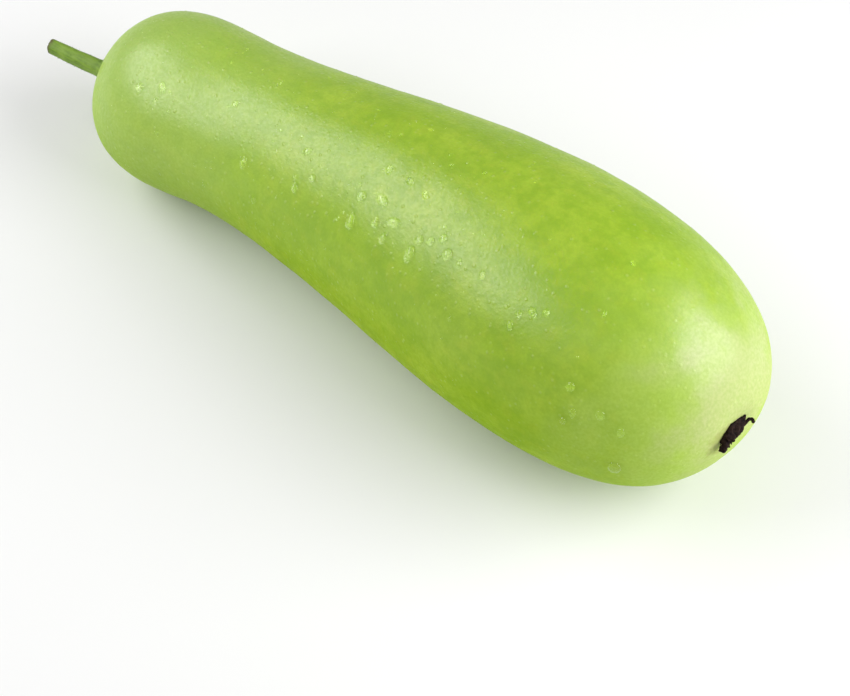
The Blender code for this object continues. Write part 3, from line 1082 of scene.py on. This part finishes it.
@dataclass
class DriedBlossom:
    """The withered blossom: its crumpled mass made finer, and the thin petals that stand off it."""

    effects: Effects
    fatten: float = 0.32 * MM
    crumple: Range = (1.1 * MM, 0.50 * MM)
    grain: Range = (0.35 * MM, 0.16 * MM)
    petals: int = 5
    petal_length: Range = (1.8 * MM, 2.8 * MM)
    petal_width: Range = (1.6 * MM, 2.6 * MM)
    petal_thickness: float = 0.14 * MM
    petal_curl: Range = (1.0, 2.4)
    petal_spacing: Range = (-0.3, 0.3)
    petal_turn: Range = (-0.7, 0.7)
    petal_lift: Range = (-0.9, -0.1)
    petal_fold: float = 0.5 * MM
    petal_crumple: Range = (0.6 * MM, 0.25 * MM)
    roots_middle: Offset = (-0.2 * MM, 0.1 * MM, 0.9 * MM)
    roots_reach: Range = (2.6 * MM, 1.2 * MM)
    seed: int = 5
    finish: WitheredFinish = WitheredFinish()
    outwards: Vector = Vector((0.993, 0.004, 0.115)).normalized()
    foot: Vector = field(init=False)

    def __post_init__(self) -> None:
        """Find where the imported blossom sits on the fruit."""
        self.foot = foot_of("dried_blossom", self.outwards)

    def build(self) -> None:
        """Make and dress the dried blossom."""
        mass = copy_of_node("dried_blossom", "withered_blossom")
        subdivide(mass, 1)
        apply_modifier(mass, "DISPLACE", strength=self.fatten, mid_level=0.0)
        roughen(mass, *self.crumple, 2)
        roughen(mass, *self.grain, 1)
        place = Matrix.Translation(self.foot) @ facing(self.outwards, Vector((0, 1, 0)))
        withered = join([mass, *self.make_petals(place)], "withered_blossom")
        shade(withered, math.radians(60))
        dress(withered, self.finish.material(self.effects))
        publish(withered, Slot.WITHERED, "dried_blossom")

    def make_petals(self, place: Matrix) -> list[Thing]:
        """Make thin curled petals with torn edges.

        Args:
            place: The place of the blossom on the fruit.

        Returns:
            The petals, rooted in the blossom's mass.
        """
        draw = random.Random(self.seed)
        petals = []
        for index in range(self.petals):
            angle = 2 * math.pi * (index + draw.uniform(*self.petal_spacing)) / self.petals
            across, along = self.roots_reach
            spread = Vector((across * math.cos(angle), along * math.sin(angle), 0.0))
            petal = self.make_petal(draw)
            turn = Matrix.Rotation(angle + draw.uniform(*self.petal_turn), 4, "Z")
            turn = turn @ Matrix.Rotation(draw.uniform(*self.petal_lift), 4, "Y")
            settle(petal, place @ Matrix.Translation(Vector(self.roots_middle) + spread) @ turn)
            petals.append(petal)
        return petals

    def make_petal(self, draw: random.Random) -> Thing:
        """Make one torn petal.

        Args:
            draw: The draw that sets its size, curl and tears.

        Returns:
            The petal, rooted at the origin and curling up along +X.
        """
        petal = add(bpy.ops.mesh.primitive_grid_add, x_subdivisions=12, y_subdivisions=8, size=1)
        places = vertex_places(petal)
        length, width = draw.uniform(*self.petal_length), draw.uniform(*self.petal_width)
        curl, phase = draw.uniform(*self.petal_curl), draw.uniform(0, 6.0)
        along, across = places[:, 0] + 0.5, places[:, 1]
        torn = 1 + 0.22 * np.sin(11 * across + phase) + 0.12 * np.sin(23 * across)
        outline = width * (0.45 + 0.75 * np.sin(np.pi * (0.15 + 0.7 * along))) * (1 - 0.35 * along)
        bend = curl * along * torn
        fold = self.petal_fold * np.sin(6 * across + 4 * along + phase) * (0.4 + along)
        places[:, 0] = length * np.sin(bend) / curl - fold * np.sin(bend)
        places[:, 1] = across * outline
        places[:, 2] = length * (1 - np.cos(bend)) / curl + fold * np.cos(bend)
        set_vertex_places(petal, places)
        apply_modifier(petal, "SOLIDIFY", thickness=self.petal_thickness, offset=0.0)
        subdivide(petal, 1)
        roughen(petal, *self.petal_crumple, 1)
        return petal


@dataclass(frozen=True)
class Drop:
    """A water drop: share along the fruit, degrees round it from the top, length in mm, form and turn."""

    along: float
    around: float
    length: float
    form: DropForm
    turn: float = 0.0


ROUND, OVAL, TEAR = DropForm
DROPS = (
    Drop(0.125, 23, 3.9, ROUND),
    Drop(0.155, 16, 4.7, OVAL, 25),
    Drop(0.155, 26, 3.1, OVAL),
    Drop(0.26, 2, 3.9, OVAL, -30),
    Drop(0.31, 34, 5.5, OVAL, 10),
    Drop(0.34, 57, 4.4, TEAR),
    Drop(0.395, 9, 4.7, TEAR, -25),
    Drop(0.40, 32, 4.7, OVAL, 25),
    Drop(0.42, 22, 3.4, ROUND),
    Drop(0.50, 34, 7.0, TEAR, 12),
    Drop(0.50, 19, 4.4, ROUND),
    Drop(0.515, 1, 4.2, OVAL, 40),
    Drop(0.53, 16, 6.0, OVAL, 80),
    Drop(0.535, 28, 4.9, TEAR, 10),
    Drop(0.55, 2, 4.4, OVAL, 80),
    Drop(0.555, 34, 4.9, OVAL, 5),
    Drop(0.56, 24, 6.5, OVAL, -65),
    Drop(0.58, 5, 3.9, OVAL, 60),
    Drop(0.60, 35, 6.8, OVAL, 8),
    Drop(0.605, 26, 3.9, ROUND),
    Drop(0.62, 24, 3.6, ROUND),
    Drop(0.635, 20, 3.6, ROUND),
    Drop(0.65, 26, 4.7, ROUND),
    Drop(0.67, 27, 3.9, TEAR, 15),
    Drop(0.705, 27, 4.2, OVAL, 30),
    Drop(0.765, 42, 3.9, OVAL, 20),
    Drop(0.77, 35, 3.1, ROUND),
    Drop(0.785, 31, 4.4, OVAL, 60),
    Drop(0.80, 28, 3.1, ROUND),
    Drop(0.86, 57, 3.9, ROUND),
    Drop(0.87, 72, 4.4, OVAL),
    Drop(0.86, 79, 3.1, ROUND),
    Drop(0.90, 67, 4.2, ROUND),
    Drop(0.925, 76, 4.4, OVAL),
    Drop(0.92, 108, 5.7, ROUND),
)


@dataclass
class WaterDrops:
    """Drops of water on the skin: the large ones, smaller ones strewn round them, and a fine spray.

    Heights and widths are shares of a drop's length. Smaller drops are strewn along and round the fruit with
    the middle and the spread of each pair.
    """

    drops: tuple[Drop, ...] = DROPS
    height: float = 0.68
    sunk: float = 0.06
    tear_taper: float = 0.62
    tear_start: float = -0.35
    strewn: int = 46
    strewn_length: Range = (1.2 * MM, 2.6 * MM)
    strewn_along: Range = (0.46, 0.18)
    strewn_ends: Range = (0.06, 0.86)
    strewn_around: Range = (20.0, 30.0)
    strewn_turn: float = 0.5
    spray: int = 520
    spray_length: Range = (0.35 * MM, 0.95 * MM)
    spray_shape: Range = (0.86, 0.544)
    spray_neck: Range = (0.05, 0.22)
    spray_belly: Range = (0.22, 0.70)
    spray_on_neck: float = 0.2
    spray_around: Range = (15.0, 42.0)
    seed: int = 23
    finish: WaterFinish = WaterFinish()

    def build(self, fruit: Fruit) -> None:
        """Make and dress all drops as one piece.

        Args:
            fruit: The fruit that they lie on.
        """
        templates = {form: self.make_drop(form) for form in DropForm}
        fine = self.make_fine_drop()
        draw = random.Random(self.seed)
        made = []
        for drop in self.drops:
            turn = math.radians(drop.turn)
            place = fruit.resting(drop.along, drop.around, drop.length * MM, turn)
            made += scatter(templates[drop.form], [place])
        made += scatter(templates[DropForm.OVAL], self.strewn_places(fruit, draw))
        made += scatter(fine, self.spray_places(fruit, draw))
        for template in (*templates.values(), fine):
            remove(template)
        water = join(made, "water_drops")
        shade(water, math.radians(80))
        dress(water, self.finish.material())
        publish(water, None)

    def flatten(self, ball: Thing, width: float, height: float) -> Thing:
        """Squash a ball one unit long into a drop.

        Args:
            ball: The ball.
            width: The drop's width.
            height: The height that the ball would have if it weren't cut off.

        Returns:
            The same object, cut off just under the floor plane.
        """
        with editing(ball):
            bpy.ops.transform.resize(value=(1.0, width, height))
            bpy.ops.mesh.bisect(
                plane_co=(0, 0, -self.sunk), plane_no=(0, 0, 1), use_fill=True, clear_inner=True
            )
        return ball

    def make_drop(self, form: DropForm) -> Thing:
        """Make a drop one unit long on the floor plane.

        Args:
            form: The drop's outline.

        Returns:
            The drop, its thick end towards -X.
        """
        ball = add(bpy.ops.mesh.primitive_uv_sphere_add, segments=20, ring_count=12, radius=0.5)
        drop = self.flatten(ball, form.value, self.height * form.value)
        if form is DropForm.TEAR:
            places = vertex_places(drop)
            taper = 1 - self.tear_taper * smooth_step(places[:, 0] - self.tear_start)
            places[:, 1:] *= taper[:, None]
            set_vertex_places(drop, places)
        return drop

    def make_fine_drop(self) -> Thing:
        """Make a drop of few faces for the spray, one unit long on the floor plane."""
        ball = add(bpy.ops.mesh.primitive_ico_sphere_add, subdivisions=2, radius=0.5)
        return self.flatten(ball, *self.spray_shape)

    def strewn_places(self, fruit: Fruit, draw: random.Random) -> list[Matrix]:
        """Strew the smaller drops, mostly along the fruit's upper front.

        Args:
            fruit: The fruit that they lie on.
            draw: The draw that sets their places.

        Returns:
            The place of each.
        """
        places = []
        for _ in range(self.strewn):
            along = min(max(draw.gauss(*self.strewn_along), self.strewn_ends[0]), self.strewn_ends[1])
            around = draw.gauss(*self.strewn_around)
            length = draw.uniform(*self.strewn_length)
            places.append(fruit.resting(along, around, length, draw.gauss(0.0, self.strewn_turn)))
        return places

    def spray_places(self, fruit: Fruit, draw: random.Random) -> list[Matrix]:
        """Strew the fine drops of the spray, thickest along the fruit's middle.

        Args:
            fruit: The fruit that they lie on.
            draw: The draw that sets their places.

        Returns:
            The place of each.
        """
        places = []
        for _ in range(self.spray):
            stretch = self.spray_neck if draw.random() < self.spray_on_neck else self.spray_belly
            along = draw.uniform(*stretch)
            around = draw.gauss(*self.spray_around)
            length = draw.uniform(*self.spray_length)
            places.append(fruit.resting(along, around, length, draw.uniform(0, math.pi)))
        return places


# ---------------------------------------------------------------- the studio


@dataclass(frozen=True)
class Softbox:
    """A lamp with a wide pale face: the direction it stands in, how far, its face and its power in watts."""

    name: str
    direction: Offset
    distance: float
    face: tuple[float, float]
    power: float

    def build(self, target: Vector) -> None:
        """Stand the lamp in its place.

        Args:
            target: The point that it is turned to.
        """
        outwards = Vector(self.direction).normalized()
        lamp = add(bpy.ops.object.light_add, type="AREA", location=target + outwards * self.distance)
        lamp.name = self.name
        lamp.rotation_euler = outwards.to_track_quat("Z", "Y").to_euler()
        lamp.data.shape = "RECTANGLE"
        lamp.data.size, lamp.data.size_y = self.face
        lamp.data.energy = self.power


@dataclass
class Studio:
    """A pale floor, soft lamps, even white surroundings and the camera."""

    floor_size: float = 9.0
    middle: Vector = Vector((0.0150, -0.0071, 0.0450))
    aim: Vector = Vector((0.0419, -0.0269, 0.0171))
    azimuth: float = math.radians(40.86)
    elevation: float = math.radians(49.40)
    distance: float = 0.950
    lens: float = 109.82
    sensor: float = 36.0
    nearest: float = 0.01
    surroundings: float = 0.27
    lamps: tuple[Softbox, ...] = (
        Softbox("key_softbox", (-0.70, -0.39, 0.62), 0.9, (1.00, 0.46), 6.4),
        Softbox("side_softbox", (0.80, 0.30, 0.52), 0.8, (0.70, 0.70), 7.4),
    )
    finish: PaperFinish = PaperFinish()

    def build(self) -> None:
        """Set up the whole studio."""
        self.add_floor()
        self.add_surroundings()
        for lamp in self.lamps:
            lamp.build(self.middle)
        self.add_camera()
        bpy.context.scene.view_settings.view_transform = "Standard"

    def add_floor(self) -> None:
        """A wide sheet of pale paper, which isn't part of the gourd."""
        floor = add(bpy.ops.mesh.primitive_plane_add, size=self.floor_size)
        floor.name = "studio_floor"
        dress(floor, self.finish.material())

    def add_surroundings(self) -> None:
        """Even white light from all round."""
        world = bpy.data.worlds.new("studio")
        world.use_nodes = True
        graph = Graph(world.node_tree)
        white = {"Color": (1.0, 1.0, 1.0, 1.0), "Strength": self.surroundings}
        sky = graph.add("ShaderNodeBackground", white)
        graph.add("ShaderNodeOutputWorld", {"Surface": sky.outputs["Background"]})
        bpy.context.scene.world = world

    def add_camera(self) -> None:
        """A long lens that looks down on the gourd's front, from the side of its blossom end."""
        flat = Vector((math.sin(self.azimuth), -math.cos(self.azimuth), 0.0))
        away = flat * math.cos(self.elevation) + Vector((0.0, 0.0, math.sin(self.elevation)))
        stand = self.middle + away * self.distance
        camera = add(bpy.ops.object.camera_add, location=stand)
        camera.name = "camera"
        camera.rotation_euler = (stand - self.aim).to_track_quat("Z", "Y").to_euler()
        camera.data.sensor_width = self.sensor
        camera.data.lens = self.lens
        camera.data.clip_start = self.nearest
        bpy.context.scene.camera = camera


def main() -> None:
    """Build the gourd's pieces and its studio."""
    logging.basicConfig(level=logging.INFO, format="%(name)s: %(message)s")
    effects = Effects()
    stalk, blossom = Stalk(effects), DriedBlossom(effects)
    fruit = Fruit(effects, stalk.foot, blossom.foot)
    fruit.build()
    stalk.build()
    blossom.build()
    WaterDrops().build(fruit)
    Studio().build()


if __name__ == "__main__":
    main()
